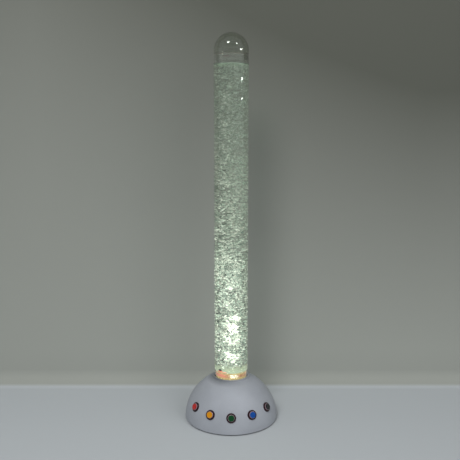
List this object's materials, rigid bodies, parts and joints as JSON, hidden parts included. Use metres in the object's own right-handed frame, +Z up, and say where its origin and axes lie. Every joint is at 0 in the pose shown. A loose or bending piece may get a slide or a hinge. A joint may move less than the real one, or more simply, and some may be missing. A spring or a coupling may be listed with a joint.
{
  "type": "led bubble tube",
  "caption": "Tall clear water tube with a domed cap, standing in a hemispherical housing with an air pump, a light board and round push buttons along its front.",
  "frame": {"origin": "on the surface that the feet stand on, at the tube's axis", "axes": "+Z up along the tube, -Y towards the front where the buttons are, +X to the viewer's right"},
  "size_m": [0.2218, 0.2219, 0.905],
  "materials": {
    "silver_paint": "satin",
    "black_plastic": "matte",
    "black_rubber": "matte",
    "steel": "satin",
    "grey_plastic": "matte",
    "clear_acrylic": "polished",
    "white_plastic": "matte",
    "led_board": "satin",
    "led_emitters": "gloss",
    "salmon_silicone": "satin",
    "orange_silicone": "satin",
    "water": "polished",
    "brass": "satin",
    "circuit_board": "satin",
    "core_steel": "satin",
    "copper_wire": "satin",
    "magnet": "satin",
    "hose": "satin",
    "cable": "satin",
    "button_black": "gloss",
    "button_ring": "gloss",
    "cap_red": "gloss",
    "cap_yellow": "gloss",
    "cap_green": "gloss",
    "cap_blue": "gloss",
    "cap_black": "gloss"
  },
  "bodies": {
    "root": {"dome_housing": "silver_paint", "bottom_plate": "black_plastic", "rubber_feet": "black_rubber", "housing_screws": "steel", "tube_socket": "grey_plastic", "socket_screws": "steel", "clear_tube": "clear_acrylic", "lamp_holder": "white_plastic", "led_board": "led_board", "led_emitters": "led_emitters", "air_inlet": "salmon_silicone", "inlet_valve": "black_rubber", "tube_plug": "clear_acrylic", "plug_seal": "orange_silicone", "air_fitting": "white_plastic", "water_column": "water", "button_nuts": "black_plastic", "button_contact_blocks": "black_plastic", "button_terminals": "brass", "power_jack": "black_plastic", "jack_nut": "steel", "control_board": "circuit_board", "board_components": "black_plastic", "pump_case": "black_plastic", "pump_cover": "black_plastic", "pump_mounts": "black_rubber", "pump_core": "core_steel", "pump_coil": "copper_wire", "pump_pivot_pin": "steel", "pump_bellows": "black_rubber", "pump_valve_box": "grey_plastic", "air_hose": "hose", "jack_cable": "cable", "led_cable": "cable", "pump_cable": "cable", "button_leads": "cable", "button_body_red": "button_black", "button_spring_red": "steel", "button_body_yellow": "button_black", "button_spring_yellow": "steel", "button_body_green": "button_black", "button_spring_green": "steel", "button_body_blue": "button_black", "button_spring_blue": "steel", "button_body_black": "button_black", "button_spring_black": "steel"},
    "cap": {"top_cap": "clear_acrylic", "cap_seal": "orange_silicone"},
    "arm": {"pump_arm": "white_plastic", "pump_magnet": "magnet"},
    "button_red": {"button_plunger_red": "button_ring", "button_cap_red": "cap_red"},
    "button_yellow": {"button_plunger_yellow": "button_ring", "button_cap_yellow": "cap_yellow"},
    "button_green": {"button_plunger_green": "button_ring", "button_cap_green": "cap_green"},
    "button_blue": {"button_plunger_blue": "button_ring", "button_cap_blue": "cap_blue"},
    "button_black": {"button_plunger_black": "button_ring", "button_cap_black": "cap_black"}
  },
  "joints": [
    {"name": "cap_lift", "type": "slide", "parent": "root", "child": "cap", "axis": [0, 0, 1], "range_m": [0, 0.04]},
    {"name": "arm_rock", "type": "hinge", "parent": "root", "child": "arm", "pos_m": [0.003, 0.012, 0.023], "axis": [0, 0, 1], "range_deg": [-3, 3], "stiffness_Nm_per_rad": 0.05, "deforming": ["pump_bellows"]},
    {"name": "red_press", "type": "slide", "parent": "root", "child": "button_red", "axis": [0.7466, 0.5151, -0.421], "range_m": [0, 0.0015], "stiffness_N_per_m": 400, "springref_m": -0.0015, "deforming": ["button_spring_red"]},
    {"name": "yellow_press", "type": "slide", "parent": "root", "child": "button_yellow", "axis": [0.4295, 0.818, -0.3827], "range_m": [0, 0.0015], "stiffness_N_per_m": 400, "springref_m": -0.0015, "deforming": ["button_spring_yellow"]},
    {"name": "green_press", "type": "slide", "parent": "root", "child": "button_green", "axis": [0, 0.9317, -0.3633], "range_m": [0, 0.0015], "stiffness_N_per_m": 400, "springref_m": -0.0015, "deforming": ["button_spring_green"]},
    {"name": "blue_press", "type": "slide", "parent": "root", "child": "button_blue", "axis": [-0.4295, 0.818, -0.3827], "range_m": [0, 0.0015], "stiffness_N_per_m": 400, "springref_m": -0.0015, "deforming": ["button_spring_blue"]},
    {"name": "black_press", "type": "slide", "parent": "root", "child": "button_black", "axis": [-0.7466, 0.5151, -0.421], "range_m": [0, 0.0015], "stiffness_N_per_m": 400, "springref_m": -0.0015, "deforming": ["button_spring_black"]}
  ]
}
